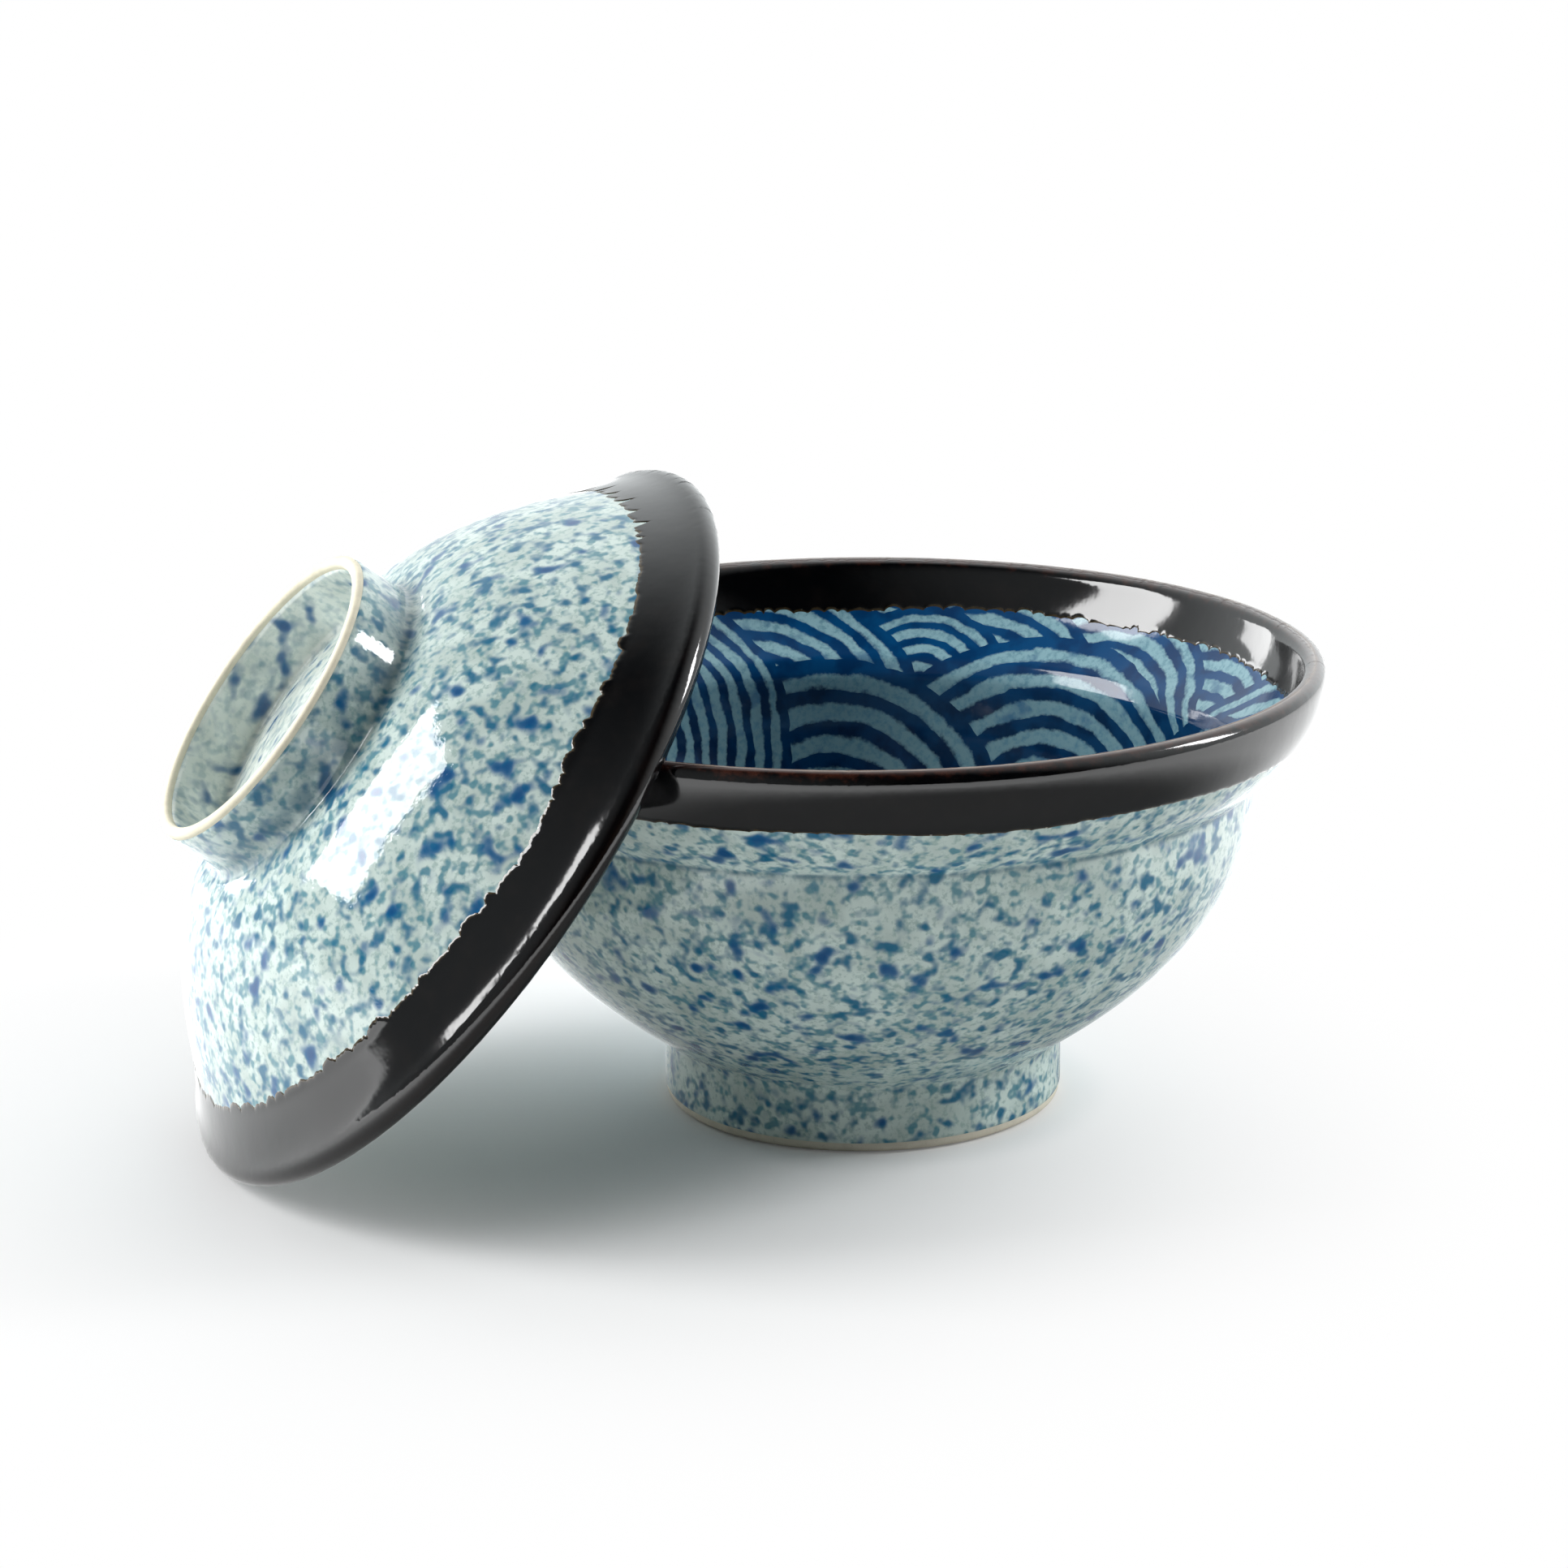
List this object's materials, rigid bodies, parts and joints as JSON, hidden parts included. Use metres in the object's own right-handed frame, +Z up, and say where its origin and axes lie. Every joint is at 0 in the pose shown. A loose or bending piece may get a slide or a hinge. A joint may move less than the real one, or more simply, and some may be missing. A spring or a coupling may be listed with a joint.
{
  "type": "donburi bowl with lid",
  "caption": "Glazed stoneware rice bowl on a foot ring, with a domed lid that has a grip ring; the lid leans on the bowl's rim and lifts away.",
  "frame": {"origin": "on the table, at the middle of the bowl's foot ring", "axes": "+Z up along the bowl's axis; the lid leans on the bowl's -X side, and the XZ plane is the plane of symmetry"},
  "size_m": [0.2083, 0.165, 0.1155],
  "materials": {
    "clay": "bare fired stoneware, matte",
    "iron_glaze": "gloss black-brown iron glaze, amber where it breaks",
    "wave_glaze": "gloss glaze over brushed blue wave arcs",
    "speckled_glaze": "gloss pale glaze with blue and teal speckle",
    "pale_glaze": "gloss pale celadon glaze"
  },
  "bodies": {
    "bowl": {"bowl_wall": "clay", "bowl_foot_ring": "clay", "bowl_rim_glaze": "iron_glaze", "bowl_inner_glaze": "wave_glaze", "bowl_outer_glaze": "speckled_glaze", "bowl_base_glaze": "pale_glaze"},
    "lid": {"lid_dome": "clay", "lid_grip_ring": "clay", "lid_rim_glaze": "iron_glaze", "lid_inner_glaze": "pale_glaze", "lid_outer_glaze": "speckled_glaze", "lid_recess_glaze": "speckled_glaze"}
  },
  "joints": [
    {"name": "lid_lift", "type": "slide", "parent": "bowl", "child": "lid", "axis": [0, 0, 1], "range_m": [0, 0.15]}
  ]
}
